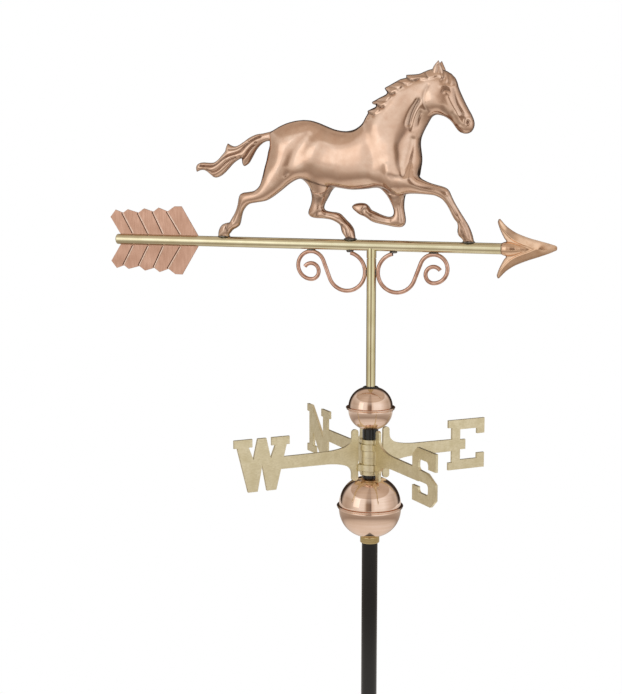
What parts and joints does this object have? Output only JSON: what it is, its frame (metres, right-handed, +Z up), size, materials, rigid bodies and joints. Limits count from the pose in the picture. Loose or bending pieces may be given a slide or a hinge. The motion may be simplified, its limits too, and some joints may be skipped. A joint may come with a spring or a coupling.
{
  "type": "weather vane",
  "caption": "Horse weather vane: a pressed copper horse on a brass arrow that turns on a spindle, above copper balls and fixed brass compass arms on a round steel mast.",
  "frame": {"origin": "middle of the lower end of the mast", "axes": "+Z up the mast, which is also the axis the vane turns on; +X along the arrow towards its tip at rest; +Y to the horse's left"},
  "size_m": [0.5587, 0.2508, 0.8901],
  "materials": {
    "polished_copper": "spun copper sheet, polished to a mirror",
    "pressed_copper": "pressed copper sheet, buffed to a soft shine",
    "satin_copper": "copper sheet and rod, satin brushed",
    "brass_tube": "drawn brass tube, satin",
    "cast_brass": "cast brass, linished flats and darker edges",
    "turned_brass": "turned brass, bright",
    "black_paint": "satin black powder coat on steel",
    "bright_steel": "bright drawn steel",
    "solder": "soft solder, dull grey"
  },
  "bodies": {
    "mast": {"mast_rod": "black_paint", "spindle": "bright_steel", "pivot_ball": "bright_steel", "large_ball_lower_half": "polished_copper", "large_ball_upper_half": "polished_copper", "small_ball_lower_half": "polished_copper", "small_ball_upper_half": "polished_copper", "ball_collar": "turned_brass", "collar_set_screw": "bright_steel", "compass_arm_north_south": "cast_brass", "compass_arm_east_west": "cast_brass", "hub_set_screws": "bright_steel"},
    "vane": {"arrow_head_left_half": "satin_copper", "arrow_head_right_half": "satin_copper", "arrow_tail_cap": "brass_tube", "arrow_tube": "brass_tube", "hoof_solder": "solder", "horse_left_ear": "pressed_copper", "horse_left_half": "pressed_copper", "horse_mane": "pressed_copper", "horse_right_ear": "pressed_copper", "horse_right_half": "pressed_copper", "horse_tail": "pressed_copper", "left_foreleg": "pressed_copper", "left_hind_leg": "pressed_copper", "lower_feather": "satin_copper", "right_foreleg": "pressed_copper", "right_hind_leg": "pressed_copper", "scroll_solder": "solder", "sleeve_cap": "brass_tube", "sleeve_tube": "brass_tube", "tail_side_scroll": "satin_copper", "tip_side_scroll": "satin_copper", "upper_feather": "satin_copper"}
  },
  "joints": [
    {"name": "vane_spin", "type": "hinge", "parent": "mast", "child": "vane", "pos_m": [0, 0, 0.65], "axis": [0, 0, 1], "continuous": true}
  ]
}
